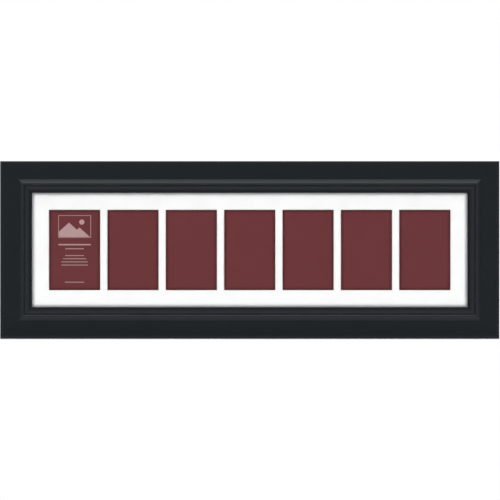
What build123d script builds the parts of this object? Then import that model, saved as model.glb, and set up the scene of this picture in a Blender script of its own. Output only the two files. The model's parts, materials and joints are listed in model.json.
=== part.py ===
"""Collage photo frame: a mitred wooden moulding round a mat with a row of portrait windows.

Millimetres. +X runs along the frame, +Z is up, and the face looks along -Y. The origin is the
middle of the wall plane, which the four bumpers touch.
"""
import os
from math import asin, cos, radians, sin, tan

from build123d import *

# Mat and its windows
window_count = 7
window_width = 88.9
window_height = 139.7
window_gap = 12.7
mat_border = 31.75
mat_thickness = 1.4

# Prints behind the windows, and the tape hinges that hold them to the mat
print_thickness = 0.3
print_spacing = 0.6  # left between neighbouring prints
print_overlap = 6.35  # hidden behind the mat above and below a window
hinge_length = 40.0
hinge_hold = 7.0  # tape on the print, and as much on the mat
hinge_thickness = 0.12

# Facing and backing
facing_thickness = 2.0
backing_thickness = 3.2
backing_recess = 0.2  # backing below the back of the moulding

# Moulding: widths across the face, from the sight edge outwards
lip_overlap = 2.2  # lip over the edge of the mat
sheet_clearance = 0.8  # edge of the sheets to the rabbet wall
roll_width = 12.0
groove_width = 1.0
ridge_width = 10.5
moulding_width = 55.0
shoulder_width = 7.0

# Moulding: heights, from the front of the rabbet towards the viewer
lip_height = 5.0
roll_rise = 3.2  # over the lip
groove_depth = 1.2
ridge_radius = 2.6  # crown of the ridge
ridge_slope = 34.0  # degrees, from the crown down to the band
band_rise = 2.0  # over the lip, beside the ridge
band_fall = 0.6  # from the ridge to the shoulder
shoulder_drop = 2.0
back_ease = 0.8

# V-nails across the mitres
v_nail_places = (12.0, 38.0)  # from the sight corner, along each rail
v_nail_leg = 8.0
v_nail_gauge = 0.6
v_nail_depth = 10.0

# Pan-head screws
shank_radius = 1.5
screw_head_radius = 3.1
screw_head_rim = 0.6
screw_head_height = 1.8
screw_in_wood = 11.0
screw_point = 2.5
recess_span = 3.4
recess_slot = 0.9
recess_depth = 1.0

# Turn buttons
long_side_buttons = 3
button_spacing = 254.0
button_setback = 7.5  # pivot to the rabbet wall
button_reach = 18.0  # pivot to the middle of the tip
button_heel_radius = 5.0
button_tip_radius = 3.6
button_gauge = 1.0
button_float = 0.1  # play under a button, and over it
button_edge = 0.25
dimple_radius = 1.7
dimple_height = 0.5
dimple_offset = 12.0
pivot_clearance = 0.06  # round a pivot, in the radius

# Strap hangers and their D-rings
strap_width = 10.0
strap_length = 34.0  # ring axis to the end of the strap
strap_gauge = 0.9  # the strap is folded double
strap_screw_places = (10.5, 25.0)  # below the ring axis
ring_axis_height = 76.0  # above the middle of the frame
wire_radius = 1.2
ring_half_width = 8.2
ring_rise = 16.0
ring_bend = 2.8
ring_rest_gap = 0.3  # ring to the back of the rail it leans on

# Wall bumpers
bumper_radius = 6.35
bumper_height = 4.8
bumper_round = 1.5
bumper_along = 6.0  # past the sight corner, along the long rail
bumper_across = 32.0  # from the sight edge, across the long rail

# Sizes in the plane of the mat
window_pitch = window_width + window_gap
window_places = [(i - (window_count - 1) / 2) * window_pitch for i in range(window_count)]
mat_width = window_count * window_width + (window_count - 1) * window_gap + 2 * mat_border
mat_height = window_height + 2 * mat_border
sight_width = mat_width - 2 * lip_overlap
sight_height = mat_height - 2 * lip_overlap
print_width = window_pitch - print_spacing
print_height = window_height + 2 * print_overlap
rabbet_reach = lip_overlap + sheet_clearance

# Heights above the back of the moulding
back_y = -bumper_height
backing_front = backing_recess + backing_thickness
print_back = backing_front + hinge_thickness
mat_back = print_back + print_thickness
mat_front = mat_back + mat_thickness
rabbet_depth = mat_front + facing_thickness
lip_front = rabbet_depth + lip_height
button_seat = button_gauge + 2 * button_float
strap_seat = 2 * strap_gauge

# Strap eye, and the lean of a ring that rests against the rail
eye_bore = wire_radius + pivot_clearance
eye_radius = eye_bore + strap_gauge
hanger_x = (sight_width + moulding_width) / 2
ring_lean = asin((eye_radius - wire_radius - ring_rest_gap) / ring_rise)


def sheet_plane(height):
    """Plane that faces the viewer, at a height above the back of the moulding."""
    return Plane(origin=(0, back_y - height, 0), x_dir=(1, 0, 0), z_dir=(0, -1, 0))


def back_plane(x, z, stand_off, x_dir=(-1, 0, 0)):
    """Plane that faces the wall, standing off the back of the moulding."""
    return Plane(origin=(x, back_y + stand_off, z), x_dir=x_dir, z_dir=(0, 1, 0))


def sheet(height, thickness, width=mat_width, tall=mat_height, x=0.0):
    """Flat sheet behind the moulding, from a height above its back towards the viewer."""
    with BuildPart() as flat:
        with BuildSketch(sheet_plane(height)):
            with Locations((x, 0)):
                Rectangle(width, tall)
        extrude(amount=thickness)
    return flat


def wood_screw(seat):
    """Pan-head screw along Z with its seat at Z = 0, long enough for what it clamps."""
    tip = -seat - screw_in_wood
    with BuildPart() as screw:
        with BuildSketch(Plane.XZ):
            with BuildLine():
                Polyline(
                    (0, screw_head_height),
                    (0, tip),
                    (shank_radius, tip + screw_point),
                    (shank_radius, 0),
                    (screw_head_radius, 0),
                    (screw_head_radius, screw_head_rim),
                )
                dome = screw_head_height - screw_head_rim
                EllipticalCenterArc((0, screw_head_rim), screw_head_radius, dome, 0, arc_size=90)
            make_face()
        revolve(axis=Axis.Z)
        with BuildSketch(Plane.XY.offset(screw_head_height)):
            Rectangle(recess_span, recess_slot)
            Rectangle(recess_slot, recess_span)
        extrude(amount=-recess_depth, mode=Mode.SUBTRACT)
    return screw.part


def save(piece, name):
    piece.part.label = name
    export_step(piece.part, f"parts/{name}.step")


os.makedirs("parts", exist_ok=True)

# Sheets in the rabbet, from the back
save(sheet(backing_recess, backing_thickness), "backing_board")
for number, x in enumerate(window_places, 1):
    save(sheet(print_back, print_thickness, print_width, print_height, x), f"photo_card_{number}")
save(sheet(mat_front, facing_thickness), "clear_facing")

# Tape hinges: each steps from the back of a print up to the back of the mat
with BuildPart() as print_hinges:
    edge = print_height / 2
    for x in window_places:
        start = Plane(origin=(x - hinge_length / 2, back_y, 0), x_dir=(0, 0, 1), z_dir=(1, 0, 0))
        with BuildSketch(start):
            with BuildLine():
                Polyline(
                    (edge - hinge_hold, backing_front),
                    (edge + hinge_thickness, backing_front),
                    (edge + hinge_thickness, mat_back - hinge_thickness),
                    (edge + hinge_hold, mat_back - hinge_thickness),
                    (edge + hinge_hold, mat_back),
                    (edge, mat_back),
                    (edge, print_back),
                    (edge - hinge_hold, print_back),
                    close=True,
                )
            make_face()
        extrude(amount=hinge_length)
save(print_hinges, "print_hinges")

# Mat: each window is bevelled at 45 degrees, widest on the face
with BuildPart() as window_cut:
    with BuildSketch(sheet_plane(mat_back)):
        Rectangle(window_width, window_height)
    with BuildSketch(sheet_plane(mat_front)):
        Rectangle(window_width + 2 * mat_thickness, window_height + 2 * mat_thickness)
    loft(ruled=True)

with BuildPart() as collage_mat:
    with BuildSketch(sheet_plane(mat_back)):
        Rectangle(mat_width, mat_height)
    extrude(amount=mat_thickness)
    with Locations(*[(x, 0, 0) for x in window_places]):
        add(window_cut.part, mode=Mode.SUBTRACT)
save(collage_mat, "collage_mat")

# V-nails: one leg in each rail of a corner, flush with the back
with BuildPart() as corner_v_nails:
    with BuildSketch(sheet_plane(0)):
        with Locations(*[(sight_width / 2 + s, sight_height / 2 + s) for s in v_nail_places]):
            Rectangle(v_nail_leg, v_nail_gauge, align=(Align.MIN, Align.MIN))
            Rectangle(v_nail_gauge, v_nail_leg, align=(Align.MIN, Align.MIN))
        mirror(about=Plane.YZ)
        mirror(about=Plane.XZ)
    extrude(amount=v_nail_depth)
save(corner_v_nails, "corner_v_nails")

# Turn buttons: where each one pivots, and the way it points at rest
short_side_x = sight_width / 2 + rabbet_reach + button_setback
long_side_z = sight_height / 2 + rabbet_reach + button_setback
button_places = {
    "turn_button_left": (-short_side_x, 0, (1, 0, 0)),
    "turn_button_right": (short_side_x, 0, (-1, 0, 0)),
}
for i in range(long_side_buttons):
    x = (i - (long_side_buttons - 1) / 2) * button_spacing
    button_places[f"turn_button_top_{i + 1}"] = (x, long_side_z, (0, 0, -1))
    button_places[f"turn_button_bottom_{i + 1}"] = (x, -long_side_z, (0, 0, 1))

for name, (x, z, inwards) in button_places.items():
    with BuildPart() as turn_button:
        with BuildSketch(back_plane(x, z, button_float, inwards)):
            Circle(button_heel_radius)
            with Locations((button_reach, 0)):
                Circle(button_tip_radius)
            make_hull()
            Circle(shank_radius + pivot_clearance, mode=Mode.SUBTRACT)
        extrude(amount=button_gauge)
        fillet(turn_button.faces().sort_by(Axis.Y)[-1].outer_wire().edges(), radius=button_edge)
        with BuildSketch(back_plane(x, z, button_float + button_gauge, inwards)):
            with Locations((dimple_offset, 0)):
                Circle(dimple_radius)
        extrude(amount=dimple_height)
        fillet(turn_button.faces().sort_by(Axis.Y)[-1].outer_wire().edges(), radius=button_edge)
    save(turn_button, name)

with BuildPart() as button_screws:
    with Locations(*[back_plane(x, z, button_seat) for x, z, inwards in button_places.values()]):
        add(wood_screw(button_seat))
save(button_screws, "button_screws")

# Strap hanger: a folded strap that runs down from the eye round the ring
with BuildPart() as strap:
    straight = strap_length - strap_width / 2
    with BuildSketch():
        Rectangle(strap_width, straight, align=(Align.CENTER, Align.MAX))
        with Locations((0, -straight)):
            Circle(strap_width / 2)
    extrude(amount=strap_seat)
    with Locations((0, 0, eye_radius)):
        Cylinder(eye_radius, strap_width, rotation=(0, 90, 0))
        Cylinder(eye_bore, strap_width, rotation=(0, 90, 0), mode=Mode.SUBTRACT)
    with Locations(*[(0, -s, strap_seat) for s in strap_screw_places]):
        Hole(shank_radius)

# D-ring: the straight bar turns in the eye, and the bow takes the hook
with BuildPart() as ring:
    bow_centre = ring_rise - ring_half_width
    with BuildLine():
        Line((0, 0), (ring_half_width - ring_bend, 0))
        CenterArc((ring_half_width - ring_bend, ring_bend), ring_bend, -90, 90)
        Line((ring_half_width, ring_bend), (ring_half_width, bow_centre))
        CenterArc((0, bow_centre), ring_half_width, 0, 180)
        Line((-ring_half_width, bow_centre), (-ring_half_width, ring_bend))
        CenterArc((ring_bend - ring_half_width, ring_bend), ring_bend, 180, 90)
        Line((ring_bend - ring_half_width, 0), (0, 0))
    with BuildSketch(Plane.YZ):
        Circle(wire_radius)
    sweep()

for side, x in (("left", -hanger_x), ("right", hanger_x)):
    with BuildPart() as hanger_strap:
        with Locations(back_plane(x, ring_axis_height, 0)):
            add(strap.part)
    save(hanger_strap, f"hanger_strap_{side}")

    ring_centre = (x, back_y + eye_radius, ring_axis_height)
    ring_face = (0, -cos(ring_lean), -sin(ring_lean))
    with BuildPart() as d_ring:
        with Locations(Plane(origin=ring_centre, x_dir=(1, 0, 0), z_dir=ring_face)):
            add(ring.part)
    save(d_ring, f"d_ring_{side}")

strap_screw_heights = [ring_axis_height - s for s in strap_screw_places]
with BuildPart() as strap_screws:
    with Locations(*[back_plane(x, z, strap_seat) for x in (-hanger_x, hanger_x) for z in strap_screw_heights]):
        add(wood_screw(strap_seat))
save(strap_screws, "strap_screws")

# Wall bumpers, near the four corners
with BuildPart() as bumper:
    Cylinder(bumper_radius, bumper_height, align=(Align.CENTER, Align.CENTER, Align.MIN))
    fillet(bumper.faces().sort_by(Axis.Z)[-1].edges(), radius=bumper_round)

bumper_x = sight_width / 2 + bumper_along
bumper_z = sight_height / 2 + bumper_across
with BuildPart() as wall_bumpers:
    with Locations(*[back_plane(x, z, 0) for x in (-bumper_x, bumper_x) for z in (-bumper_z, bumper_z)]):
        add(bumper.part)
save(wall_bumpers, "wall_bumpers")

# Moulding section: X from the sight edge outwards, Y from the back towards the viewer
ridge_start = roll_width + groove_width
band_start = ridge_start + ridge_width
shoulder_start = moulding_width - shoulder_width
roll_top = lip_front + roll_rise
band_in = lip_front + band_rise
band_out = band_in - band_fall
side_top = band_out - shoulder_drop
slope = radians(ridge_slope)
crown_x = ridge_start + ridge_radius
flank_start = crown_x + ridge_radius * sin(slope)
flank_top = band_in + (band_start - flank_start) * tan(slope)
crown_y = flank_top - ridge_radius * cos(slope)
with BuildSketch() as moulding_section:
    with BuildLine():
        TangentArc((roll_width, roll_top), (0, lip_front), tangent=(-1, 0))
        Polyline(
            (roll_width, roll_top),
            (roll_width, roll_top - groove_depth),
            (ridge_start, roll_top - groove_depth),
            (ridge_start, crown_y),
        )
        CenterArc((crown_x, crown_y), ridge_radius, 180, -90 - ridge_slope)
        Polyline((flank_start, flank_top), (band_start, band_in), (shoulder_start, band_out))
        EllipticalCenterArc((shoulder_start, side_top), shoulder_width, shoulder_drop, 0, arc_size=90)
        Polyline(
            (moulding_width, side_top),
            (moulding_width, back_ease),
            (moulding_width - back_ease, 0),
            (rabbet_reach, 0),
            (rabbet_reach, rabbet_depth),
            (0, rabbet_depth),
            (0, lip_front),
        )
    make_face()

# Rails: the way out from the middle, the way along, and the sight size across and along
rails = {
    "top_rail": (Vector(0, 0, 1), Vector(1, 0, 0), sight_height, sight_width),
    "bottom_rail": (Vector(0, 0, -1), Vector(-1, 0, 0), sight_height, sight_width),
    "left_rail": (Vector(-1, 0, 0), Vector(0, 0, 1), sight_width, sight_height),
    "right_rail": (Vector(1, 0, 0), Vector(0, 0, -1), sight_width, sight_height),
}
for name, (outwards, along, sight_across, sight_along) in rails.items():
    sight_edge = Vector(0, back_y, 0) + outwards * (sight_across / 2)
    with BuildPart() as rail:
        with BuildSketch(Plane(origin=sight_edge, x_dir=outwards, z_dir=along)):
            add(moulding_section.sketch)
        extrude(amount=sight_along / 2 + moulding_width, both=True)
        for way in (along, along * -1):
            sight_corner = sight_edge + way * (sight_along / 2)
            split(bisect_by=Plane(origin=sight_corner, z_dir=way - outwards), keep=Keep.BOTTOM)
        for fastener in (corner_v_nails, button_screws, strap_screws):
            add(fastener.part, mode=Mode.SUBTRACT)
    save(rail, name)
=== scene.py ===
import json
import math

import bmesh
import bpy
from mathutils import Matrix, Vector


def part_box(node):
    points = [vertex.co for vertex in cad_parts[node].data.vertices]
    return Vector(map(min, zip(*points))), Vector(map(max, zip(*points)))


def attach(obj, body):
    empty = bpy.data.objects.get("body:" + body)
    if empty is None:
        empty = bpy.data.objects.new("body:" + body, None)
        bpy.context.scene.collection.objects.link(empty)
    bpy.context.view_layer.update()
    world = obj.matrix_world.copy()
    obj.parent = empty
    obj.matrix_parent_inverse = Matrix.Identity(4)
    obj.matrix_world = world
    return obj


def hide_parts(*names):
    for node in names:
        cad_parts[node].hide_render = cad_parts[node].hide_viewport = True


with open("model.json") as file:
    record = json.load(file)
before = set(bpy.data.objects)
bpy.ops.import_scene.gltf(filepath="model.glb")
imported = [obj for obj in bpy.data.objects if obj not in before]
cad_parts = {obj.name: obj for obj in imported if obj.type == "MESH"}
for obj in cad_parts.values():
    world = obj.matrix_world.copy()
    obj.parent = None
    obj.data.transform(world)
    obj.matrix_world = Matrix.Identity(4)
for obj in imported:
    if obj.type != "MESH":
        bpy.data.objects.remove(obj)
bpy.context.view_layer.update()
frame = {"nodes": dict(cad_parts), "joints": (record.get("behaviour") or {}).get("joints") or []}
nodes = frame["nodes"]
joints = {joint["name"]: joint for joint in frame["joints"]}
buttonNodes = sorted(name for name in nodes if name.startswith("turn_button"))
cardNodes = sorted(name for name in nodes if name.startswith("photo_card"))
bpy.ops.object.select_all(action="DESELECT")  # the solids come in selected

# Planes and edges that the new pieces are drawn from
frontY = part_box("top_rail")[0].y
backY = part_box("top_rail")[1].y
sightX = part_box("right_rail")[0].x
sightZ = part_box("top_rail")[0].z
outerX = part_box("right_rail")[1].x
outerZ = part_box("top_rail")[1].z
mouldingWidth = outerZ - sightZ
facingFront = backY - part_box("clear_facing")[0].y
wallwards = Vector((0, 1, 0))

# How meshes are begun, welded, picked and shaded
seedSize = 0.001
weldGap = 0.000002
near = 0.000005  # closer than this counts as the same place
squareOn = 0.9  # a face looks along an axis when its normal has more of it than this
sideOn = 0.1  # and stands along the axis when its normal has less of it than this
mitred = 0.45  # X times Z in the normal of a mitre is more than this
drillSides = 48
smoothAngle = 35


def makeActive(piece):
    bpy.ops.object.select_all(action="DESELECT")
    piece.select_set(True)
    bpy.context.view_layer.objects.active = piece


def settle(piece):
    makeActive(piece)
    bpy.ops.object.transform_apply(location=True, rotation=True, scale=True)


# The piece that was added last, with its transform applied
def newPiece():
    piece = bpy.context.object
    settle(piece)
    return piece


def selectAll():
    bpy.ops.mesh.select_all(action="SELECT")


def openMesh(piece):
    makeActive(piece)
    bpy.ops.object.mode_set(mode="EDIT")
    selectAll()


def closeMesh():
    bpy.ops.object.mode_set(mode="OBJECT")


def tidyMesh():
    selectAll()
    bpy.ops.mesh.remove_doubles(threshold=weldGap)
    bpy.ops.mesh.normals_make_consistent(inside=False)


def closeTidy():
    tidyMesh()
    closeMesh()


def pick(kind, test):
    bpy.ops.mesh.select_mode(type=kind)
    bpy.ops.mesh.select_all(action="DESELECT")
    shape = bpy.context.object.data
    mesh = bmesh.from_edit_mesh(shape)
    found = {"VERT": mesh.verts, "EDGE": mesh.edges, "FACE": mesh.faces}[kind]
    for item in found:
        if test(item):
            item.select_set(True)
    bmesh.update_edit_mesh(shape)


def atHeight(item, height):
    return all(abs(vert.co.z - height) < near for vert in item.verts)


def pull(x, y, z):
    bpy.ops.mesh.extrude_region_move(TRANSFORM_OT_translate={"value": (x, y, z)})


def ease(offset, steps, affect="EDGES"):
    bpy.ops.mesh.bevel(offset=offset, segments=steps, affect=affect)


def applyModifier(piece, kind, **settings):
    makeActive(piece)
    bpy.ops.object.modifier_add(type=kind)
    modifier = piece.modifiers[-1]
    for name, value in settings.items():
        setattr(modifier, name, value)
    bpy.ops.object.modifier_apply(modifier=modifier.name)


def dropPiece(piece):
    bpy.data.objects.remove(piece)


def cutWith(piece, cutter, operation="DIFFERENCE"):
    applyModifier(piece, "BOOLEAN", object=cutter, operation=operation, solver="EXACT")
    dropPiece(cutter)


def addBox(middle, size):
    bpy.ops.mesh.primitive_cube_add(size=1, location=middle, scale=size)
    return newPiece()


def addCylinder(radius, depth, location, sides, rotation=(0, 0, 0)):
    bpy.ops.mesh.primitive_cylinder_add(vertices=sides, radius=radius, depth=depth, location=location,
                                        rotation=rotation)
    return bpy.context.object


def cutHole(piece, radius, depth, location, rotation=(0, 0, 0)):
    cutWith(piece, addCylinder(radius, depth, location, drillSides, rotation))


def copyPiece(piece):
    makeActive(piece)
    bpy.ops.object.duplicate()
    return bpy.context.object


# Local Z stands off the back of the moulding, and local X points along towards
def placeOnBack(piece, x, z, towards):
    along = Vector(towards)
    across = wallwards.cross(along)
    turn = Matrix((along, across, wallwards)).transposed().to_4x4()
    piece.matrix_world = Matrix.Translation((x, backY, z)) @ turn
    settle(piece)


# A copy of the pattern at each place, all joined into one piece
def spread(pattern, places):
    copies = []
    for x, z, towards in places:
        copy = copyPiece(pattern)
        placeOnBack(copy, x, z, towards)
        copies.append(copy)
    dropPiece(pattern)
    makeActive(copies[0])
    for copy in copies:
        copy.select_set(True)
    bpy.ops.object.join()
    return bpy.context.object


def finishPiece(piece, name, material, slot, body, *replaced):
    piece.name = name
    piece.data.name = name
    makeActive(piece)
    bpy.ops.object.shade_smooth_by_angle(angle=math.radians(smoothAngle))
    applyModifier(piece, "WEIGHTED_NORMAL", keep_sharp=True)  # flats stay flat beside their eased edges
    if material:
        piece.data.materials.clear()
        piece.data.materials.append(material)
    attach(piece, body)
    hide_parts(*replaced)


# One vertex, drawn out point by point along an outline
def traceOutline(points):
    bpy.ops.mesh.primitive_plane_add(size=seedSize, location=points[0])
    piece = newPiece()
    openMesh(piece)
    bpy.ops.mesh.select_mode(type="VERT")
    bpy.ops.mesh.merge(type="CENTER")
    for here, there in zip(points, points[1:]):
        bpy.ops.mesh.extrude_vertices_move(TRANSFORM_OT_translate={"value": there - here})
    selectAll()
    return piece


def ellipseArc(centre, radii, startAngle, sweep, steps):
    points = []
    for i in range(steps + 1):
        angle = math.radians(startAngle + sweep * i / steps)
        points.append((centre[0] + radii[0] * math.cos(angle), centre[1] + radii[1] * math.sin(angle)))
    return points


# In the dictionaries a noise is its scale, detail and roughness, streaks are their length and width, a bump
# is its strength and height, and a spread is the part of a noise that is stretched out to the full range
noiseSpread = (0.3, 0.7)  # where most of a noise lies


# Node helpers: a value is a socket to link, or a plain number, tuple or colour to set
def feed(tree, socket, value):
    if isinstance(value, bpy.types.NodeSocket):
        tree.links.new(value, socket)
    else:
        socket.default_value = value


def feedAll(tree, node, values):
    for name, value in values.items():
        feed(tree, node.inputs[name], value)


def addNode(tree, kind, values):
    node = tree.nodes.new("ShaderNode" + kind)
    feedAll(tree, node, values)
    return node


def calc(tree, operation, *values, clamp=False):
    node = addNode(tree, "Math", dict(enumerate(values)))
    node.operation = operation
    node.use_clamp = clamp
    return node.outputs["Value"]


# One value out of many, by an operation on two
def fold(tree, operation, values):
    total = values[0]
    for value in values[1:]:
        total = calc(tree, operation, total, value)
    return total


def noise(tree, vector, scale, detail, roughness):
    values = {"Vector": vector, "Scale": scale, "Detail": detail, "Roughness": roughness}
    return addNode(tree, "TexNoise", values).outputs["Fac"]


def remap(tree, value, low, high, newLow=0.0, newHigh=1.0, smooth=False):
    values = {"Value": value, "From Min": low, "From Max": high, "To Min": newLow, "To Max": newHigh}
    node = addNode(tree, "MapRange", values)
    node.interpolation_type = "SMOOTHSTEP" if smooth else "LINEAR"
    return node.outputs["Result"]


# Colours have the seventh and eighth input of the node, and its third output
def mixColour(tree, factor, first, second):
    node = tree.nodes.new("ShaderNodeMix")
    node.data_type = "RGBA"
    feedAll(tree, node, {"Factor": factor, 6: first, 7: second})
    return node.outputs[2]


def stretch(tree, vector, scale=(1, 1, 1), turn=0):
    values = {"Vector": vector, "Rotation": (0, math.radians(turn), 0), "Scale": scale}
    return addNode(tree, "Mapping", values).outputs["Vector"]


def splitVector(tree, vector):
    return addNode(tree, "SeparateXYZ", {"Vector": vector}).outputs


def greyRamp(tree, value, stops):
    node = addNode(tree, "ValToRGB", {"Fac": value})
    points = node.color_ramp.elements
    while len(points) < len(stops):
        points.new(1.0)
    for point, (place, level) in zip(points, stops):
        point.position = place
        point.color = (level, level, level, 1)
    return node.outputs["Color"]


def bump(tree, height, strength, distance):
    values = {"Height": height, "Strength": strength, "Distance": distance}
    return addNode(tree, "Bump", values).outputs["Normal"]


def newMaterial(name):
    material = bpy.data.materials.new(name)
    material.use_nodes = True
    tree = material.node_tree
    shader = tree.nodes["Principled BSDF"]
    place = tree.nodes.new("ShaderNodeTexCoord").outputs["Object"]
    return material, tree, shader, place


def setSurface(tree, shader, colour, roughness, normal):
    feedAll(tree, shader, {"Base Color": colour, "Roughness": roughness, "Normal": normal})


# A group takes a place and some numbers, and gives other numbers
def newGroup(name, numbers, results):
    group = bpy.data.node_groups.new(name, "ShaderNodeTree")
    group.interface.new_socket(name="Vector", in_out="INPUT", socket_type="NodeSocketVector")
    for way, labels in (("INPUT", numbers), ("OUTPUT", results)):
        for label in labels:
            group.interface.new_socket(name=label, in_out=way, socket_type="NodeSocketFloat")
    return group, group.nodes.new("NodeGroupInput").outputs, group.nodes.new("NodeGroupOutput").inputs


def useGroup(tree, group, **values):
    node = tree.nodes.new("ShaderNodeGroup")
    node.node_tree = group
    feedAll(tree, node, values)
    return node.outputs


# What the node groups repeat; wear, tooth and tint get their scale from the size of what they are put on
patterns = {
    "streak": (1.0, 5.0, 0.6),
    "fine": (3.7, 2.0, 0.5),
    "wear": (6.0, 0.65),
    "wearSpread": (0.42, 0.68),
    "tooth": (6.0, 0.7),
    "tint": (3.0, 0.5),
    "tintShare": 0.03,  # scale of the tint to that of the tooth
}


# Long streaks along X, as wood fibre and brushed paint have
def makeFibreGroup():
    group, given, put = newGroup("fibreStreaks", ["Length", "Width"], ["Streak", "Fine"])
    ends = splitVector(group, given["Vector"])
    joined = group.nodes.new("ShaderNodeCombineXYZ")
    for axis, size in (("X", "Length"), ("Y", "Width"), ("Z", "Width")):
        feed(group, joined.inputs[axis], calc(group, "DIVIDE", ends[axis], given[size]))
    feed(group, put["Streak"], noise(group, joined.outputs[0], *patterns["streak"]))
    feed(group, put["Fine"], noise(group, joined.outputs[0], *patterns["fine"]))
    return group


# Rubbed spots on an edge mask, broken up by noise
def makeWearGroup():
    group, given, put = newGroup("edgeWear", ["Edge", "Size", "Amount"], ["Mask"])
    fineness = calc(group, "DIVIDE", 1.0, given["Size"])
    spots = remap(group, noise(group, given["Vector"], fineness, *patterns["wear"]), *patterns["wearSpread"])
    broken = calc(group, "MULTIPLY", given["Edge"], spots)
    feed(group, put["Mask"], calc(group, "MULTIPLY", broken, given["Amount"], clamp=True))
    return group


# Tooth of paper and board: fine fibres and a slow change of tint
def makeToothGroup():
    group, given, put = newGroup("paperTooth", ["Size"], ["Height", "Tint"])
    fineness = calc(group, "DIVIDE", 1.0, given["Size"])
    slow = calc(group, "MULTIPLY", fineness, patterns["tintShare"])
    feed(group, put["Height"], noise(group, given["Vector"], fineness, *patterns["tooth"]))
    feed(group, put["Tint"], noise(group, given["Vector"], slow, *patterns["tint"]))
    return group


# Distance from the sight edge outwards, on all four rails alike
def makeAcrossGroup():
    group, given, put = newGroup("acrossMoulding", [], ["Across"])
    place = splitVector(group, given["Vector"])
    over = [calc(group, "SUBTRACT", calc(group, "ABSOLUTE", place[axis]), sight)
            for axis, sight in (("X", sightX), ("Z", sightZ))]
    feed(group, put["Across"], calc(group, "MAXIMUM", *over))
    return group


fibreStreaks = makeFibreGroup()
edgeWear = makeWearGroup()
paperTooth = makeToothGroup()
acrossMoulding = makeAcrossGroup()
print("node groups ready")


def streaksAlong(tree, place, size, turn=0):
    if turn:
        place = stretch(tree, place, turn=turn)
    return useGroup(tree, fibreStreaks, Vector=place, Length=size[0], Width=size[1])


# Moulding, in the order of its section from the sight edge outwards
moulding = {
    "rollWidth": 0.012,
    "rollRise": 0.0032,
    "grooveWidth": 0.001,
    "grooveDepth": 0.0012,
    "ridgeWidth": 0.0105,
    "ridgeRadius": 0.0026,
    "ridgeSlope": 34.0,
    "bandRise": 0.002,
    "bandFall": 0.0006,
    "shoulderWidth": 0.007,
    "shoulderDrop": 0.002,
    "lipHeight": 0.005,
    "rabbetReach": 0.003,
    "backEase": 0.0008,
    "arris": 0.00035,  # easing of the sharp edges
    "arrisSteps": 3,
    "mitreEase": 0.00012,
    "arcSteps": 20,
    "paint": (0.0022, 0.0055, 0.0082, 1),
    "paintLight": (0.0040, 0.0080, 0.0113, 1),
    "paintRoughness": (0.34, 0.44),
    "paintGloss": 0.15,
    "coatRoughness": 0.28,
    # Polish of the top coat from the sight edge outwards: thin at the lip, full on the roll and the ridge
    "polish": [(0.0, 0.0), (0.004, 0.32), (0.009, 1.0), (0.0145, 0.98), (0.0235, 0.36), (0.026, 0.42),
               (0.055, 0.42)],
    "polishPatches": (0.92, 1.0),
    "patches": (24.0, 4.0, 0.6),
    "brush": (0.09, 0.0022),
    "brushFine": 0.5,  # height of the fine marks to that of the long ones
    "brushBump": (0.06, 0.0003),
    "rub": (0.06, 0.058, 0.055, 1),
    "rubWidth": 0.0006,
    "rubSpot": 0.006,
    "rubAmount": 0.35,
    "bareWood": (0.47, 0.33, 0.20, 1),
    "bareWoodDark": (0.33, 0.21, 0.115, 1),
    "bareRoughness": (0.62, 0.8),
    "grain": (0.12, 0.0035),
    "ringSpread": (0.35, 0.65),
    "poreSpread": (0.62, 0.72),
    "poreDepth": 0.5,
    "grainBump": (0.25, 0.0004),
    "overrun": 0.0035,  # paint that came round onto the back
    "overrunWander": 0.002,
    "overrunNoise": (45.0, 3.0, 0.5),
    "overrunSoft": 0.0008,
}


def sectionOutline():
    size = moulding
    steps = size["arcSteps"]
    rollWidth, rollRise = size["rollWidth"], size["rollRise"]
    lipFront = facingFront + size["lipHeight"]
    rollTop = lipFront + rollRise
    ridgeStart = rollWidth + size["grooveWidth"]
    bandStart = ridgeStart + size["ridgeWidth"]
    bandIn = lipFront + size["bandRise"]
    bandOut = bandIn - size["bandFall"]
    shoulder = (size["shoulderWidth"], size["shoulderDrop"])
    shoulderStart = mouldingWidth - size["shoulderWidth"]
    sideTop = bandOut - size["shoulderDrop"]
    grooveFloor = rollTop - size["grooveDepth"]
    rollRadius = (rollWidth ** 2 + rollRise ** 2) / (2 * rollRise)
    rollCentre = (rollWidth, rollTop - rollRadius)
    rollTurn = math.degrees(math.asin(rollWidth / rollRadius))
    crown = size["ridgeRadius"]
    crownX = ridgeStart + crown
    slope = math.radians(size["ridgeSlope"])
    flankTop = bandIn + (bandStart - crownX - crown * math.sin(slope)) * math.tan(slope)
    crownY = flankTop - crown * math.cos(slope)
    points = ellipseArc(rollCentre, (rollRadius, rollRadius), 90 + rollTurn, -rollTurn, steps)
    points += [(rollWidth, grooveFloor), (ridgeStart, grooveFloor)]
    points += ellipseArc((crownX, crownY), (crown, crown), 180, -90 - size["ridgeSlope"], steps)
    points.append((bandStart, bandIn))
    points += ellipseArc((shoulderStart, sideTop), shoulder, 90, -90, steps)
    points += [(mouldingWidth, size["backEase"]), (mouldingWidth - size["backEase"], 0),
               (size["rabbetReach"], 0), (size["rabbetReach"], facingFront), (0, facingFront)]
    sharp = [(0, lipFront), (rollWidth, rollTop), (bandStart, bandIn), (0, facingFront)]
    return points, sharp


def onMitre(face):
    return abs(face.normal.x * face.normal.z) > mitred


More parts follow.
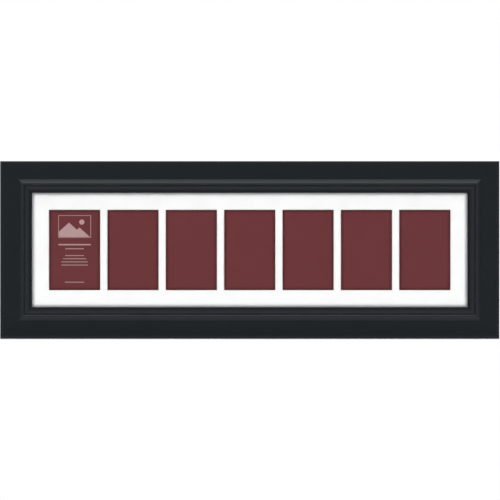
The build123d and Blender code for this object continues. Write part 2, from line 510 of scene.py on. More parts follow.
# A rail as the top one lies: drawn at one end, pulled to the other and cut to its mitres
def makeRail(alongHalf, acrossHalf):
    reach = alongHalf + mouldingWidth
    points, corners = ([Vector((-reach, backY - height, acrossHalf + across)) for across, height in spots]
                       for spots in sectionOutline())
    piece = traceOutline(points)
    bpy.ops.mesh.edge_face_add()
    pick("VERT", lambda vert: any((vert.co - corner).length < near for corner in corners))
    ease(moulding["arris"], moulding["arrisSteps"], "VERTICES")
    selectAll()
    pull(2 * reach, 0, 0)
    for way in (1, -1):
        selectAll()
        bpy.ops.mesh.bisect(plane_co=(way * alongHalf, 0, acrossHalf), plane_no=(way, 0, -1),
                            use_fill=True, clear_outer=True)
    tidyMesh()
    pick("EDGE", lambda edge: sum(onMitre(face) for face in edge.link_faces) == 1)
    ease(moulding["mitreEase"], 1)
    # Easing tilts a few corners out of the mitre, so they are laid back
    mesh = bmesh.from_edit_mesh(piece.data)
    for face in filter(onMitre, mesh.faces):
        for vert in face.verts:
            vert.co.x = math.copysign(alongHalf + vert.co.z - acrossHalf, vert.co.x)
    bmesh.update_edit_mesh(piece.data)
    closeTidy()
    return piece


# V-nails: a folded strip driven a little below the back, two at each corner
vNail = {
    "places": (0.012, 0.038),
    "leg": 0.008,
    "gauge": 0.0006,
    "depth": 0.010,
    "sunk": 0.0003,
    "slotClear": 0.00006,
    "slotProud": 0.0005,  # how far the cutter of a slot stands out of the wood
}


# The legs of the nails that lie in this rail; each cutter runs on past the mitre, so two rails share one V
def cutSlots(piece, alongHalf, acrossHalf):
    clear, proud = vNail["slotClear"], vNail["slotProud"]
    wide = vNail["gauge"] + 2 * clear
    deep = vNail["depth"] + clear + proud
    long = vNail["leg"] + 2 * clear + proud
    for way in (1, -1):
        for along in vNail["places"]:
            start = along - clear
            x = way * (alongHalf + start + wide / 2)
            z = acrossHalf + start - proud + long / 2
            cutWith(piece, addBox((x, backY + proud - deep / 2, z), (wide, deep, long)))


def blackLacquer(name, turn):
    look = moulding
    material, tree, shader, place = newMaterial(name)
    streaks = streaksAlong(tree, place, look["brush"], turn)
    across = useGroup(tree, acrossMoulding, Vector=place)["Across"]
    cloudy = noise(tree, place, *look["patches"])
    # Arrises of the roll, the ridge and the outer edge, where hands and cloths rub
    arrises = (look["rollWidth"], look["rollWidth"] + look["grooveWidth"], mouldingWidth - look["rubWidth"])
    gaps = [calc(tree, "ABSOLUTE", calc(tree, "SUBTRACT", across, line)) for line in arrises]
    edge = remap(tree, fold(tree, "MINIMUM", gaps), 0.0, look["rubWidth"], 1.0, 0.0, smooth=True)
    rub = useGroup(tree, edgeWear, Vector=place, Edge=edge, Size=look["rubSpot"], Amount=look["rubAmount"])
    colour = mixColour(tree, streaks["Streak"], look["paint"], look["paintLight"])
    colour = mixColour(tree, rub["Mask"], colour, look["rub"])
    roughness = remap(tree, cloudy, *noiseSpread, *look["paintRoughness"])
    height = calc(tree, "ADD", streaks["Streak"], calc(tree, "MULTIPLY", streaks["Fine"], look["brushFine"]))
    setSurface(tree, shader, colour, roughness, bump(tree, height, *look["brushBump"]))
    stops = [(spot / mouldingWidth, level) for spot, level in look["polish"]]
    polish = greyRamp(tree, calc(tree, "DIVIDE", across, mouldingWidth, clamp=True), stops)
    patchy = remap(tree, cloudy, *noiseSpread, *look["polishPatches"])
    coat = calc(tree, "MULTIPLY", polish, patchy)
    feedAll(tree, shader, {"Coat Weight": coat, "Coat Roughness": look["coatRoughness"],
                           "Specular IOR Level": look["paintGloss"]})
    return material


def bareWood(name, turn):
    look = moulding
    material, tree, shader, place = newMaterial(name)
    streaks = streaksAlong(tree, place, look["grain"], turn)
    rings = remap(tree, streaks["Streak"], *look["ringSpread"], smooth=True)
    colour = mixColour(tree, rings, look["bareWood"], look["bareWoodDark"])
    pores = remap(tree, streaks["Fine"], *look["poreSpread"], 0.0, look["poreDepth"])
    colour = mixColour(tree, pores, colour, look["bareWoodDark"])
    # Paint that ran over the outer edge and the sight edge
    across = useGroup(tree, acrossMoulding, Vector=place)["Across"]
    wander = calc(tree, "MULTIPLY", noise(tree, place, *look["overrunNoise"]), look["overrunWander"])
    outer = calc(tree, "SUBTRACT", across, mouldingWidth - look["overrun"])
    inner = calc(tree, "SUBTRACT", look["rabbetReach"] - look["overrunWander"], across)
    over = calc(tree, "ADD", calc(tree, "MAXIMUM", outer, inner), wander)
    paint = remap(tree, over, 0.0, look["overrunSoft"], smooth=True)
    colour = mixColour(tree, paint, colour, look["paintLight"])
    roughness = remap(tree, streaks["Fine"], *noiseSpread, *look["bareRoughness"])
    height = calc(tree, "ADD", streaks["Streak"], streaks["Fine"])
    setSurface(tree, shader, colour, roughness, bump(tree, height, *look["grainBump"]))
    return material


# The back, the floor of the rabbet and its wall are never painted
def isBare(face, acrossHalf):
    middle = face.calc_center_median()
    inRabbet = middle.z < acrossHalf + moulding["rabbetReach"] + near
    return middle.y > backY - facingFront - near and (face.normal.y > squareOn or inRabbet)


# Rails: the name, the turn from the top rail, and the half sizes along and across
railTurns = {
    "top_rail": ("mouldingTop", 0, sightX, sightZ),
    "right_rail": ("mouldingRight", 90, sightZ, sightX),
    "bottom_rail": ("mouldingBottom", 180, sightX, sightZ),
    "left_rail": ("mouldingLeft", 270, sightZ, sightX),
}
lacquer = {turn: blackLacquer(f"blackLacquer{turn}", turn) for turn in (0, 90)}
bare = {turn: bareWood(f"bareWood{turn}", turn) for turn in (0, 90)}
for node, (name, turn, alongHalf, acrossHalf) in railTurns.items():
    piece = makeRail(alongHalf, acrossHalf)
    cutSlots(piece, alongHalf, acrossHalf)
    for coat in (lacquer, bare):
        piece.data.materials.append(coat[turn % 180])
    openMesh(piece)
    pick("FACE", lambda face: isBare(face, acrossHalf))
    piece.active_material_index = 1
    bpy.ops.object.material_slot_assign()
    closeMesh()
    piece.rotation_euler = (0, math.radians(turn), 0)
    settle(piece)
    finishPiece(piece, name, None, "moulding_paint", "frame", node)
    print("rail finished:", name)


def makeNail():
    leg, gauge, depth = vNail["leg"], vNail["gauge"], vNail["depth"]
    outline = [(0, 0), (leg, 0), (leg, gauge), (gauge, gauge), (gauge, leg), (0, leg)]
    piece = traceOutline([Vector((x, y, -depth)) for x, y in outline])
    bpy.ops.mesh.edge_face_add()
    pull(0, 0, depth - vNail["sunk"])
    closeTidy()
    return piece


# Each corner by the signs of X and Z, with the way that the first leg of its nails points
cornerTurns = {(1, 1): (0, 0, 1), (-1, 1): (-1, 0, 0), (-1, -1): (0, 0, -1), (1, -1): (1, 0, 0)}
nailPlaces = [(wayX * (sightX + along), wayZ * (sightZ + along), towards)
              for (wayX, wayZ), towards in cornerTurns.items() for along in vNail["places"]]
vNails = spread(makeNail(), nailPlaces)
print("v-nails driven:", len(nailPlaces))

# Plated steel: bright on the rubbed edges, with fine rolling marks and a few dull spots
plating = {
    # Bright and dull colour, roughness and length of the marks
    "zincPlate": ((0.58, 0.585, 0.58, 1), (0.40, 0.405, 0.41, 1), 0.34, 0.004),
    "nickelWire": ((0.66, 0.64, 0.60, 1), (0.50, 0.475, 0.44, 1), 0.24, 0.003),
    "nailSteel": ((0.30, 0.30, 0.31, 1), (0.17, 0.165, 0.16, 1), 0.45, 0.002),
    "markWidth": 0.00018,
    "markRoughness": (-0.06, 0.08),
    "markBump": (0.12, 0.00004),
    "dullSpots": (420.0, 5.0, 0.6),
    "dullSpread": (0.38, 0.66),
    "edgeSpread": (0.52, 0.60),
    "worn": (0.78, 0.77, 0.75, 1),
    "wornSpot": 0.0018,
    "wornAmount": 0.7,
    "wornShine": 0.08,
}


def platedSteel(name):
    bright, dull, usual, markLength = plating[name]
    material, tree, shader, place = newMaterial(name)
    marks = streaksAlong(tree, place, (markLength, plating["markWidth"]))
    spots = remap(tree, noise(tree, place, *plating["dullSpots"]), *plating["dullSpread"])
    corner = tree.nodes.new("ShaderNodeNewGeometry").outputs["Pointiness"]
    worn = useGroup(tree, edgeWear, Vector=place, Edge=remap(tree, corner, *plating["edgeSpread"]),
                    Size=plating["wornSpot"], Amount=plating["wornAmount"])["Mask"]
    colour = mixColour(tree, spots, bright, dull)
    colour = mixColour(tree, worn, colour, plating["worn"])
    limits = (usual + change for change in plating["markRoughness"])
    roughness = remap(tree, marks["Streak"], *noiseSpread, *limits)
    roughness = calc(tree, "SUBTRACT", roughness, calc(tree, "MULTIPLY", worn, plating["wornShine"]))
    setSurface(tree, shader, colour, roughness, bump(tree, marks["Fine"], *plating["markBump"]))
    shader.inputs["Metallic"].default_value = 1.0
    return material


zincPlate = platedSteel("zincPlate")
nickelWire = platedSteel("nickelWire")
nailSteel = platedSteel("nailSteel")
finishPiece(vNails, "vNails", nailSteel, "plated_steel", "frame", "corner_v_nails")

# Turn button: two round ends hulled into one blade, pierced for its screw, with a pressed thumb dimple
turnButton = {
    "heelRadius": 0.005,
    "tipRadius": 0.0036,
    "reach": 0.018,
    "gauge": 0.001,
    "float": 0.0001,
    "edge": 0.00025,
    "edgeSteps": 4,
    "underLess": 3,  # the underside is eased this many times less
    "underSteps": 2,
    "hole": 0.00156,
    "drill": 0.004,
    "dimpleRadius": 0.0017,
    "dimpleHeight": 0.0005,
    "dimplePlace": 0.012,
    "dimpleSides": 40,
    "sides": 64,
    "flatAngle": 1,  # faces that meet at less than this become one
}


def makeTurnButton():
    size = turnButton
    under = size["float"]
    top = under + size["gauge"]
    middle = under + size["gauge"] / 2
    addCylinder(size["heelRadius"], size["gauge"], (0, 0, middle), size["sides"])
    button = newPiece()
    openMesh(button)
    addCylinder(size["tipRadius"], size["gauge"], (size["reach"], 0, middle), size["sides"])
    selectAll()
    bpy.ops.mesh.convex_hull()
    selectAll()
    bpy.ops.mesh.dissolve_limited(angle_limit=math.radians(size["flatAngle"]))
    edge = size["edge"]
    rims = ((top, edge, size["edgeSteps"]), (under, edge / size["underLess"], size["underSteps"]))
    for height, offset, steps in rims:
        pick("EDGE", lambda line: atHeight(line, height)
             and any(abs(face.normal.z) < sideOn for face in line.link_faces))
        ease(offset, steps)
    closeTidy()
    sides = size["dimpleSides"]
    bpy.ops.mesh.primitive_uv_sphere_add(segments=sides, ring_count=sides // 2, radius=size["dimpleRadius"],
                                         location=(size["dimplePlace"], 0, top),
                                         scale=(1, 1, size["dimpleHeight"] / size["dimpleRadius"]))
    cutWith(button, newPiece(), "UNION")
    cutHole(button, size["hole"], size["drill"], (0, 0, middle))
    return button


buttonPattern = makeTurnButton()
buttonSpots = []
for node in buttonNodes:
    spot = Vector(joints[node + "_turn"]["pos_m"])
    low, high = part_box(node)
    inwards = (low + high) / 2 - spot
    inwards.y = 0
    button = copyPiece(buttonPattern)
    placeOnBack(button, spot.x, spot.z, inwards.normalized())
    name = "turnButton" + "".join(side.title() for side in node.split("_")[2:])
    finishPiece(button, name, zincPlate, "plated_steel", node, node)
    buttonSpots.append((spot.x, spot.z))
dropPiece(buttonPattern)
print("turn buttons placed:", len(buttonSpots))

# Pan-head screw with a cross recess; its seat is where the clamped piece ends
panScrew = {
    "headRadius": 0.0031,
    "headRim": 0.0006,
    "headHeight": 0.0018,
    "headEase": 0.0001,
    "domeSteps": 14,
    "shankRadius": 0.0015,
    "rootRadius": 0.00112,
    "inWood": 0.011,
    "point": 0.0025,
    "threadPitch": 0.0012,
    "threadStop": 0.001,  # the thread ends this far below the wood's face
    "runOut": 0.0004,
    "recessSpan": 0.0036,
    "recessSlot": 0.0008,
    "recessDepth": 0.0011,
    "recessTaper": 0.55,
    "spinSteps": 48,
    "firstTurn": 0.6,
    "nextTurn": 1.37,  # no two recesses line up
}


def makeScrew(seat):
    size = panScrew
    root, shank, head = size["rootRadius"], size["shankRadius"], size["headRadius"]
    pitch, headEase = size["threadPitch"], size["headEase"]
    outline = [(0, -size["inWood"])]
    z = -size["inWood"] + size["point"]
    while z + pitch < -size["threadStop"]:
        outline += [(root, z), (shank, z + pitch / 2)]
        z += pitch
    outline += [(root, z), (shank, z + size["runOut"]), (shank, seat), (head - headEase, seat),
                (head, seat + headEase)]
    dome = size["headHeight"] - size["headRim"]
    outline += ellipseArc((0, seat + size["headRim"]), (head, dome), 0, 90, size["domeSteps"])
    screw = traceOutline([Vector((radius, 0, height)) for radius, height in outline])
    bpy.ops.mesh.spin(steps=size["spinSteps"], angle=2 * math.pi, center=(0, 0, 0), axis=(0, 0, 1))
    closeTidy()
    across = (size["recessSpan"], size["recessSlot"])
    for span in (across, across[::-1]):
        bit = addBox((0, 0, seat + size["headHeight"]), (*span, 2 * size["recessDepth"]))
        openMesh(bit)
        pick("FACE", lambda face: face.normal.z < -squareOn)
        bpy.ops.transform.resize(value=(size["recessTaper"], size["recessTaper"], 1))
        closeMesh()
        cutWith(screw, bit)
    return screw


def spreadScrews(seat, spots):
    places = []
    for i, (x, z) in enumerate(spots):
        turn = panScrew["firstTurn"] + panScrew["nextTurn"] * i
        places.append((x, z, (math.cos(turn), 0, math.sin(turn))))
    return spread(makeScrew(seat), places)


# Strap hanger: one strip folded double round the eye of its ring
strap = {
    "width": 0.010,
    "length": 0.034,
    "gauge": 0.0009,
    "foldGap": 0.00005,
    "foldReach": 0.0002,  # how far the fold stays open under the eye
    "eyeBore": 0.00126,
    "eyeSteps": 36,
    "tipFlat": 0.00002,
    "tipSteps": 20,
    "screwPlaces": (0.0105, 0.025),
    "screwHole": 0.0016,
    "drill": 0.01,
    "edge": 0.00012,
    "edgeSteps": 2,
    "edgeAngle": 50,  # edges sharper than this are eased
}
buttonSeat = turnButton["gauge"] + 2 * turnButton["float"]
strapSeat = 2 * strap["gauge"]
ringSpots = {side: Vector(joints[f"d_ring_{side}_swing"]["pos_m"]) for side in ("left", "right")}
strapScrewSpots = [(spot.x, spot.z - below) for spot in ringSpots.values() for below in strap["screwPlaces"]]
finishPiece(spreadScrews(buttonSeat, buttonSpots), "buttonScrews", nickelWire, "plated_steel", "frame",
            "button_screws")
finishPiece(spreadScrews(strapSeat, strapScrewSpots), "strapScrews", nickelWire, "plated_steel", "frame",
            "strap_screws")
print("screws driven:", len(buttonSpots) + len(strapScrewSpots))


# The strip is drawn edge on and pulled out to its width
def makeStrap(eyeHeight):
    size = strap
    gauge = size["gauge"]
    eyeRadius = size["eyeBore"] + gauge
    halfWidth = size["width"] / 2
    end = -size["length"]
    meet = math.degrees(math.asin((eyeHeight - strapSeat) / eyeRadius))
    slitEnd = -eyeRadius + size["foldReach"]
    halfGap = size["foldGap"] / 2
    outline = [(end, 0)]
    outline += ellipseArc((0, eyeHeight), (eyeRadius, eyeRadius), -90, 270 + meet, size["eyeSteps"])
    outline += [(end, strapSeat), (end, gauge + halfGap), (slitEnd, gauge + halfGap),
                (slitEnd, gauge - halfGap), (end, gauge - halfGap)]
    piece = traceOutline([Vector((-halfWidth, y, z)) for y, z in outline])
    bpy.ops.mesh.edge_face_add()
    pull(size["width"], 0, 0)
    tidyMesh()
    pick("EDGE", lambda edge: all(abs(vert.co.y - end) < near for vert in edge.verts)
         and abs(edge.verts[0].co.z - edge.verts[1].co.z) > gauge / 2)
    ease(halfWidth - size["tipFlat"], size["tipSteps"])
    closeTidy()
    cutHole(piece, size["eyeBore"], 2 * size["width"], (0, 0, eyeHeight), (0, math.radians(90), 0))
    for below in size["screwPlaces"]:
        cutHole(piece, size["screwHole"], size["drill"], (0, -below, 0))
    applyModifier(piece, "BEVEL", width=size["edge"], segments=size["edgeSteps"], limit_method="ANGLE",
                  angle_limit=math.radians(size["edgeAngle"]))
    return piece


# D-ring: a wire circle pushed and spun round the D, and closed where it began
dRing = {
    "wireRadius": 0.0012,
    "halfWidth": 0.0082,
    "rise": 0.016,
    "bend": 0.0028,
    "bendSteps": 10,
    "bowSteps": 40,
    "restGap": 0.0003,
    "sides": 28,
}


def turnWire(angle, x, y, steps):
    bpy.ops.mesh.spin(steps=steps, angle=math.radians(angle), center=(x, y, 0), axis=(0, 0, -1))


def makeRing():
    size = dRing
    bend = size["bend"]
    bar = size["halfWidth"] - bend
    bowCentre = size["rise"] - size["halfWidth"]
    bpy.ops.mesh.primitive_circle_add(vertices=size["sides"], radius=size["wireRadius"],
                                      rotation=(0, math.radians(90), 0))
    ring = newPiece()
    openMesh(ring)
    pull(bar, 0, 0)
    turnWire(90, bar, bend, size["bendSteps"])
    pull(0, bowCentre - bend, 0)
    turnWire(180, 0, bowCentre, size["bowSteps"])
    pull(0, bend - bowCentre, 0)
    turnWire(90, -bar, bend, size["bendSteps"])
    pull(bar, 0, 0)
    closeTidy()
    return ring


for side, spot in ringSpots.items():
    eyeHeight = spot.y - backY
    hanger = makeStrap(eyeHeight)
    placeOnBack(hanger, spot.x, spot.z, (-1, 0, 0))
    finishPiece(hanger, f"strapHanger{side.title()}", zincPlate, "plated_steel", "frame",
                f"hanger_strap_{side}")
    ring = makeRing()
    lean = math.asin((eyeHeight - dRing["wireRadius"] - dRing["restGap"]) / dRing["rise"])
    ring.matrix_world = Matrix.Translation(spot) @ Matrix.Rotation(math.radians(90) + lean, 4, "X")
    settle(ring)
    finishPiece(ring, f"ring{side.title()}", nickelWire, "plated_steel", f"d_ring_{side}", f"d_ring_{side}")
print("strap hangers and rings placed")

# Wall bumper: a rounded rubber button on a thin adhesive disc
bumper = {
    "radius": 0.00635,
    "sides": 72,
    "film": 0.00025,
    "filmInset": 0.0003,
    "round": 0.0015,
    "roundSteps": 8,
    "dishInset": 0.0011,
    "dishRim": 0.0004,
    "dishDepth": 0.0002,
    "rubber": (0.022, 0.022, 0.023, 1),
    "rubberDusty": (0.055, 0.054, 0.052, 1),
    "dust": (240.0, 4.0, 0.6),
    "dustSpread": (0.45, 0.75),
    "dustMost": 0.7,
    "mottle": (900.0, 5.0, 0.65),
    "roughness": (0.58, 0.74),
    "bump": (0.2, 0.0001),
}


def makeBumper(height):
    size = bumper
    film = size["film"]
    addCylinder(size["radius"], height - film, (0, 0, (height + film) / 2), size["sides"])
    piece = newPiece()
    openMesh(piece)
    pick("FACE", lambda face: face.normal.z < -squareOn)
    bpy.ops.mesh.inset(thickness=size["filmInset"])
    pull(0, 0, -film)
    pick("EDGE", lambda edge: atHeight(edge, height))
    ease(size["round"], size["roundSteps"])
    pick("FACE", lambda face: atHeight(face, height))
    bpy.ops.mesh.inset(thickness=size["dishInset"])
    bpy.ops.mesh.inset(thickness=size["dishRim"], depth=-size["dishDepth"])
    closeTidy()
    return piece


def bumperRubber():
    look = bumper
    material, tree, shader, place = newMaterial("bumperRubber")
    mottle = noise(tree, place, *look["mottle"])
    dust = remap(tree, noise(tree, place, *look["dust"]), *look["dustSpread"], 0.0, look["dustMost"])
    colour = mixColour(tree, dust, look["rubber"], look["rubberDusty"])
    roughness = remap(tree, mottle, *noiseSpread, *look["roughness"])
    setSurface(tree, shader, colour, roughness, bump(tree, mottle, *look["bump"]))
    return material


low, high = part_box("wall_bumpers")
inset = bumper["radius"]
bumperPlaces = [(x, z, (1, 0, 0)) for x in (low.x + inset, high.x - inset)
                for z in (low.z + inset, high.z - inset)]
wallBumpers = spread(makeBumper(high.y - backY), bumperPlaces)
finishPiece(wallBumpers, "wallBumpers", bumperRubber(), "bumper_rubber", "frame", "wall_bumpers")
print("bumpers stuck on:", len(bumperPlaces))


# Sheets keep their own meshes and get new finishes
def dress(material, *names):
    for name in names:
        nodes[name].data.materials.clear()
        nodes[name].data.materials.append(material)


matBoard = {
    "face": (0.909, 0.905, 0.907, 1),
    "faceWarm": (0.884, 0.879, 0.876, 1),
    "tintSpread": (0.4, 0.7),
    "core": (0.93, 0.93, 0.925, 1),
    "cutSpread": (0.75, 0.9),  # how square to the front the bevels of the windows and the face stand
    "toned": (0.37, 0.382, 0.42, 1),  # painted shade along the lip of the moulding, where the lip shades the mat
    "tonedReach": 0.0051,
    "tooth": 0.0006,
    "roughness": (0.8, 0.92),
    "shine": 0.25,
    "bump": (0.1, 0.0001),
}


def makeMatBoard():
    look = matBoard
    material, tree, shader, place = newMaterial("matBoard")
    tooth = useGroup(tree, paperTooth, Vector=place, Size=look["tooth"])
    tint = remap(tree, tooth["Tint"], *look["tintSpread"])
    colour = mixColour(tree, tint, look["face"], look["faceWarm"])
    across = useGroup(tree, acrossMoulding, Vector=place)["Across"]
    # Painted shade: the face greys towards the lip of the moulding
    toned = remap(tree, across, -look["tonedReach"], 0.0)
    colour = mixColour(tree, toned, colour, look["toned"])
    normal = tree.nodes.new("ShaderNodeNewGeometry").outputs["Normal"]
    facing = calc(tree, "ABSOLUTE", splitVector(tree, normal)["Y"])
    colour = mixColour(tree, remap(tree, facing, *look["cutSpread"], 1.0, 0.0), colour, look["core"])
    roughness = remap(tree, tooth["Height"], *noiseSpread, *look["roughness"])
    setSurface(tree, shader, colour, roughness, bump(tree, tooth["Height"], *look["bump"]))
    shader.inputs["Specular IOR Level"].default_value = look["shine"]
    return material


# Print: a dyed card with painted shade darkening it towards the window's edge, and a plain placeholder mark
# on the first
printCard = {
    "window": (0.0889, 0.1397),
    # painted shade reaches this far in from the window's edge
    "rim": 0.0065,
    "dye": (0.137, 0.0208, 0.0245, 1),
    "dyeLight": (0.142, 0.0220, 0.0258, 1),
    "dyeRim": (0.068, 0.0010, 0.0020, 1),
    "tooth": 0.0005,
    "roughness": (0.55, 0.68),
    "shine": 0.3,
    "bump": (0.08, 0.0001),
    "ink": (0.46, 0.30, 0.30, 1),
    "inkSpread": (0.25, 0.6),
    "inkCover": (0.75, 1.0),
    "line": 0.0009,
    "lineSoft": 0.000225,
    "picture": (0.041, 0.028, 0.019),  # height of its middle, half its width and half its height
    # In halves of the picture: the sun's place and radius, and the tops of the peaks
    "sun": (0.45, 0.4, 0.16),
    "peaks": [(-0.35, 0.35), (0.3, -0.1)],
    "peakSlope": 0.9,
    # Plain rules below it: height, half the length and half the thickness of each
    "rules": [(0.0093, 0.028, 0.0011), (0.0022, 0.016, 0.0007), (-0.0097, 0.0165, 0.0006),
              (-0.0152, 0.020, 0.0006), (-0.0207, 0.0228, 0.0006), (-0.0262, 0.0228, 0.0006),
              (-0.056, 0.0165, 0.0006)],
}
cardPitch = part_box("photo_card_2")[0].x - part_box("photo_card_1")[0].x
firstCardX = (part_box("photo_card_1")[0].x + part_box("photo_card_1")[1].x) / 2


def inkMask(tree, x, z):
    look = printCard
    soft = look["lineSoft"]

    def away(value, middle):
        return calc(tree, "ABSOLUTE", calc(tree, "SUBTRACT", value, middle))

    def within(limit, value):
        return calc(tree, "SUBTRACT", limit, value)

    def insideBox(halfWide, halfTall, middle):
        return calc(tree, "MINIMUM", within(halfWide, away(x, 0.0)), within(halfTall, away(z, middle)))

    shapes = [insideBox(halfLength, halfThick, height) for height, halfLength, halfThick in look["rules"]]
    # A little landscape in an outline: sun over two peaks
    middle, halfWide, halfTall = look["picture"]
    box = insideBox(halfWide, halfTall, middle)
    shapes.append(within(look["line"] / 2, calc(tree, "ABSOLUTE", box)))
    sunX, sunZ, sunRadius = look["sun"]
    aside = calc(tree, "POWER", away(x, sunX * halfWide), 2.0)
    above = calc(tree, "POWER", away(z, middle + sunZ * halfTall), 2.0)
    shapes.append(within(sunRadius * halfWide, calc(tree, "SQRT", calc(tree, "ADD", aside, above))))
    flanks = []
    for peakX, peakZ in look["peaks"]:
        fall = calc(tree, "MULTIPLY", away(x, peakX * halfWide), look["peakSlope"])
        flanks.append(calc(tree, "SUBTRACT", within(middle + peakZ * halfTall, z), fall))
    ground = fold(tree, "MAXIMUM", flanks)
    shapes.append(calc(tree, "MINIMUM", ground, calc(tree, "SUBTRACT", box, look["line"])))
    return fold(tree, "MAXIMUM", [remap(tree, shape, -soft, soft) for shape in shapes])


def makePrintCard(name, marked):
    look = printCard
    material, tree, shader, place = newMaterial(name)
    tooth = useGroup(tree, paperTooth, Vector=place, Size=look["tooth"])
    at = splitVector(tree, place)
    x = calc(tree, "WRAP", at["X"], cardPitch / 2, -cardPitch / 2)
    halfWide, halfTall = (size / 2 - look["rim"] for size in look["window"])
    over = calc(tree, "MAXIMUM", calc(tree, "SUBTRACT", calc(tree, "ABSOLUTE", x), halfWide),
                calc(tree, "SUBTRACT", calc(tree, "ABSOLUTE", at["Z"]), halfTall))
    colour = mixColour(tree, tooth["Tint"], look["dye"], look["dyeLight"])
    # Painted shade: the dye darkens towards the window's edge, where the mat's edge shades the card
    colour = mixColour(tree, remap(tree, over, 0.0, look["rim"], smooth=True), colour, look["dyeRim"])
    if marked:
        ink = inkMask(tree, calc(tree, "SUBTRACT", at["X"], firstCardX), at["Z"])
        cover = remap(tree, tooth["Height"], *look["inkSpread"], *look["inkCover"])
        colour = mixColour(tree, calc(tree, "MULTIPLY", ink, cover), colour, look["ink"])
    roughness = remap(tree, tooth["Height"], *noiseSpread, *look["roughness"])
    setSurface(tree, shader, colour, roughness, bump(tree, tooth["Height"], *look["bump"]))
    shader.inputs["Specular IOR Level"].default_value = look["shine"]
    return material


# Facing: a cut sheet with eased edges, a hair clear of the mat and the lip so that no faces coincide
acrylic = {
    "offMat": 0.00008,
    "offLip": 0.00004,
    "edge": 0.0002,
    "edgeSteps": 2,
    "ior": 1.49,
    "haze": (0.015, 0.045),
    "smears": (30.0, 5.0, 0.6),
    "smearSpread": (0.4, 0.7),
    "smearStretch": (1, 1, 0.4),
    "tint": (0.990, 0.993, 0.991, 1),
}


def makeFacing():
    low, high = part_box("clear_facing")
    low.y += acrylic["offLip"]
    high.y -= acrylic["offMat"]
    sheet = addBox((low + high) / 2, high - low)
    openMesh(sheet)
    ease(acrylic["edge"], acrylic["edgeSteps"])
    closeTidy()
    return sheet


def makeAcrylic():
    look = acrylic
    material, tree, shader, place = newMaterial("clearAcrylic")
    tree.nodes.remove(shader)
    smears = noise(tree, stretch(tree, place, scale=look["smearStretch"]), *look["smears"])
    haze = remap(tree, smears, *look["smearSpread"], *look["haze"])
    clear = addNode(tree, "BsdfTransparent", {"Color": look["tint"]}).outputs[0]
    gloss = addNode(tree, "BsdfGlossy", {"Roughness": haze}).outputs[0]
    edge = addNode(tree, "Fresnel", {"IOR": look["ior"]}).outputs[0]
    inner = tree.nodes.new("ShaderNodeNewGeometry").outputs["Backfacing"]
    share = calc(tree, "MULTIPLY", edge, calc(tree, "SUBTRACT", 1.0, inner))
    mix = addNode(tree, "MixShader", {0: share, 1: clear, 2: gloss}).outputs[0]
    feed(tree, tree.nodes["Material Output"].inputs["Surface"], mix)
    return material


# Backing: pressed wood pulp with pale and dark fibres that lie two ways
hardboard = {
    "brown": (0.27, 0.165, 0.088, 1),
    "brownDark": (0.175, 0.10, 0.052, 1),
    "tintSpread": (0.25, 0.75),
    "tintMost": 0.6,
    "pulp": 0.0011,
    "fleck": (0.40, 0.28, 0.165, 1),
    "fleckMost": 0.55,
    "fibre": (0.0045, 0.0009),
    "fibreSpread": (0.60, 0.72),
    "crossed": (0.006, 0.001),
    "crossedSpread": (0.62, 0.74),
    "crossedTurn": 63,
    "darkSpread": (0.60, 0.72),
    "darkMost": 0.5,
    "roughness": (0.6, 0.8),
    "bump": (0.15, 0.0002),
}


def makeHardboard():
    look = hardboard
    material, tree, shader, place = newMaterial("hardboard")
    pulp = useGroup(tree, paperTooth, Vector=place, Size=look["pulp"])
    fibre = streaksAlong(tree, place, look["fibre"])
    crossed = streaksAlong(tree, place, look["crossed"], look["crossedTurn"])
    tint = remap(tree, pulp["Tint"], *look["tintSpread"], 0.0, look["tintMost"])
    colour = mixColour(tree, tint, look["brown"], look["brownDark"])
    flecks = calc(tree, "MAXIMUM", remap(tree, fibre["Streak"], *look["fibreSpread"]),
                  remap(tree, crossed["Streak"], *look["crossedSpread"]))
    colour = mixColour(tree, calc(tree, "MULTIPLY", flecks, look["fleckMost"]), colour, look["fleck"])
    dark = remap(tree, fibre["Fine"], *look["darkSpread"], 0.0, look["darkMost"])
    colour = mixColour(tree, dark, colour, look["brownDark"])
    roughness = remap(tree, pulp["Height"], *noiseSpread, *look["roughness"])
    setSurface(tree, shader, colour, roughness, bump(tree, pulp["Height"], *look["bump"]))
    return material


# Tape of the hinges: a plain linen weave
hingeTape = {
    "linen": (0.78, 0.73, 0.60, 1),
    "linenDark": (0.66, 0.60, 0.47, 1),
    "thread": (0.004, 0.0004),
    "roughness": (0.85, 0.95),
    "bump": (0.3, 0.0002),
}


def makeHingeTape():
    look = hingeTape
    material, tree, shader, place = newMaterial("hingeTape")
    threads = [streaksAlong(tree, place, look["thread"], turn)["Streak"] for turn in (0, 90)]
    weave = calc(tree, "MAXIMUM", *threads)
    colour = mixColour(tree, weave, look["linenDark"], look["linen"])
    roughness = remap(tree, weave, *noiseSpread, *look["roughness"])
    setSurface(tree, shader, colour, roughness, bump(tree, weave, *look["bump"]))
    return material


dress(makeMatBoard(), "collage_mat")
dress(makePrintCard("printCardMarked", True), cardNodes[0])
dress(makePrintCard("printCard", False), *cardNodes[1:])
finishPiece(makeFacing(), "clearFacing", makeAcrylic(), "facing_acrylic", "frame", "clear_facing")
dress(makeHardboard(), "backing_board")
dress(makeHingeTape(), "print_hinges")
print("sheets dressed")

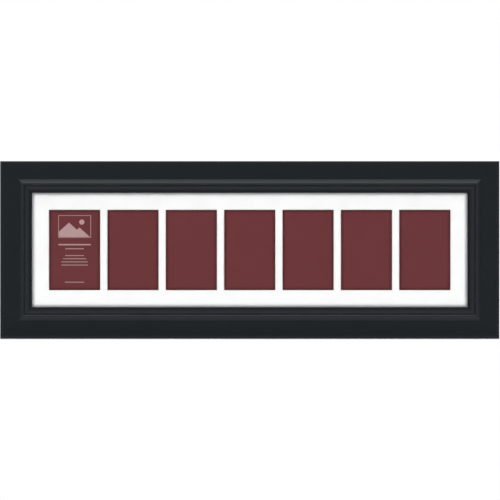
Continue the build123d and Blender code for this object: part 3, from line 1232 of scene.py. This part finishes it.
# Stage, light and camera
studio = {
    "floorSize": (8.0, 6.0),
    "floorFront": 0.065,  # the floor fades out to here before the frame
    "floorTone": (0.6, 0.6, 0.6, 1),
    "floorRoughness": 0.9,
    "floorGlow": 0.4,
    "white": (1, 1, 1, 1),
    "lens": 200.0,
    "sensor": 36.0,
    "fill": 1.0,  # picture width over the frame's width
    "offCentre": 0.0005,  # the frame stands this far left of the picture's middle
    # Light by how far it comes round from the front (0) to the back (1): a soft ring in front of the frame
    "soft": [(0.0, 0.2), (0.06, 0.3), (0.08, 3.2), (0.16, 3.2), (0.19, 0.1), (0.45, 0.08), (0.7, 1.65)],
    # What gloss shows of the room, from the front round to the white sweep behind
    "room": [(0.0, 0.08), (0.005, 0.1), (0.014, 0.44), (0.05, 0.5), (0.2, 0.5), (0.3, 0.34), (0.5, 0.26),
             (0.7, 0.9), (0.85, 0.8), (1.0, 0.45)],
    "keyPower": 11.5,
    "keyPlace": (0.0, -0.9, 2.2),
    "keySize": (2.6, 1.0),
}


def makeFloor():
    wide, deep = studio["floorSize"]
    fadeFrom = -studio["floorFront"]
    bpy.ops.mesh.primitive_plane_add(size=1, location=(0, deep / 2 + fadeFrom, -outerZ))
    bpy.ops.transform.resize(value=(wide, deep, 1))
    floor = newPiece()
    floor.name = "studioFloor"
    material, tree, shader, place = newMaterial("paleFloor")
    path = tree.nodes.new("ShaderNodeLightPath").outputs
    seen = [path[ray] for ray in ("Is Camera Ray", "Is Glossy Ray", "Is Transmission Ray")]
    glow = calc(tree, "MULTIPLY", fold(tree, "MAXIMUM", seen), studio["floorGlow"])
    ahead = splitVector(tree, place)["Y"]
    feedAll(tree, shader, {"Base Color": studio["floorTone"], "Roughness": studio["floorRoughness"],
                           "Specular IOR Level": 0.0, "Emission Color": studio["white"],
                           "Emission Strength": glow, "Alpha": remap(tree, ahead, fadeFrom, frontY)})
    floor.data.materials.append(material)


def makeWorld():
    world = bpy.data.worlds.new("studioWorld")
    bpy.context.scene.world = world
    world.use_nodes = True
    tree = world.node_tree
    path = tree.nodes.new("ShaderNodeLightPath").outputs
    forward = splitVector(tree, tree.nodes.new("ShaderNodeTexCoord").outputs["Generated"])["Y"]
    way = remap(tree, forward, -1.0, 1.0)
    light = mixColour(tree, path["Is Glossy Ray"], greyRamp(tree, way, studio["soft"]),
                      greyRamp(tree, way, studio["room"]))
    seen = calc(tree, "MAXIMUM", path["Is Camera Ray"], path["Is Transmission Ray"])
    feed(tree, tree.nodes["Background"].inputs["Color"], mixColour(tree, seen, light, studio["white"]))


def makeLamp():
    bpy.ops.object.light_add(type="AREA", location=studio["keyPlace"])
    lamp = bpy.context.object
    lamp.name = "keyLight"
    lamp.data.shape = "RECTANGLE"
    lamp.data.size, lamp.data.size_y = studio["keySize"]
    lamp.data.energy = studio["keyPower"]
    lamp.rotation_euler = (-Vector(studio["keyPlace"])).to_track_quat("-Z", "Y").to_euler()


def makeCamera():
    distance = 2 * outerX * studio["fill"] * studio["lens"] / studio["sensor"]
    bpy.ops.object.camera_add(location=(studio["offCentre"], frontY - distance, 0),
                              rotation=(math.radians(90), 0, 0))
    camera = bpy.context.object
    camera.data.lens = studio["lens"]
    camera.data.sensor_width = studio["sensor"]
    bpy.context.scene.camera = camera


makeFloor()
makeWorld()
makeLamp()
makeCamera()
bpy.context.scene.view_settings.view_transform = "Standard"
print("studio ready")
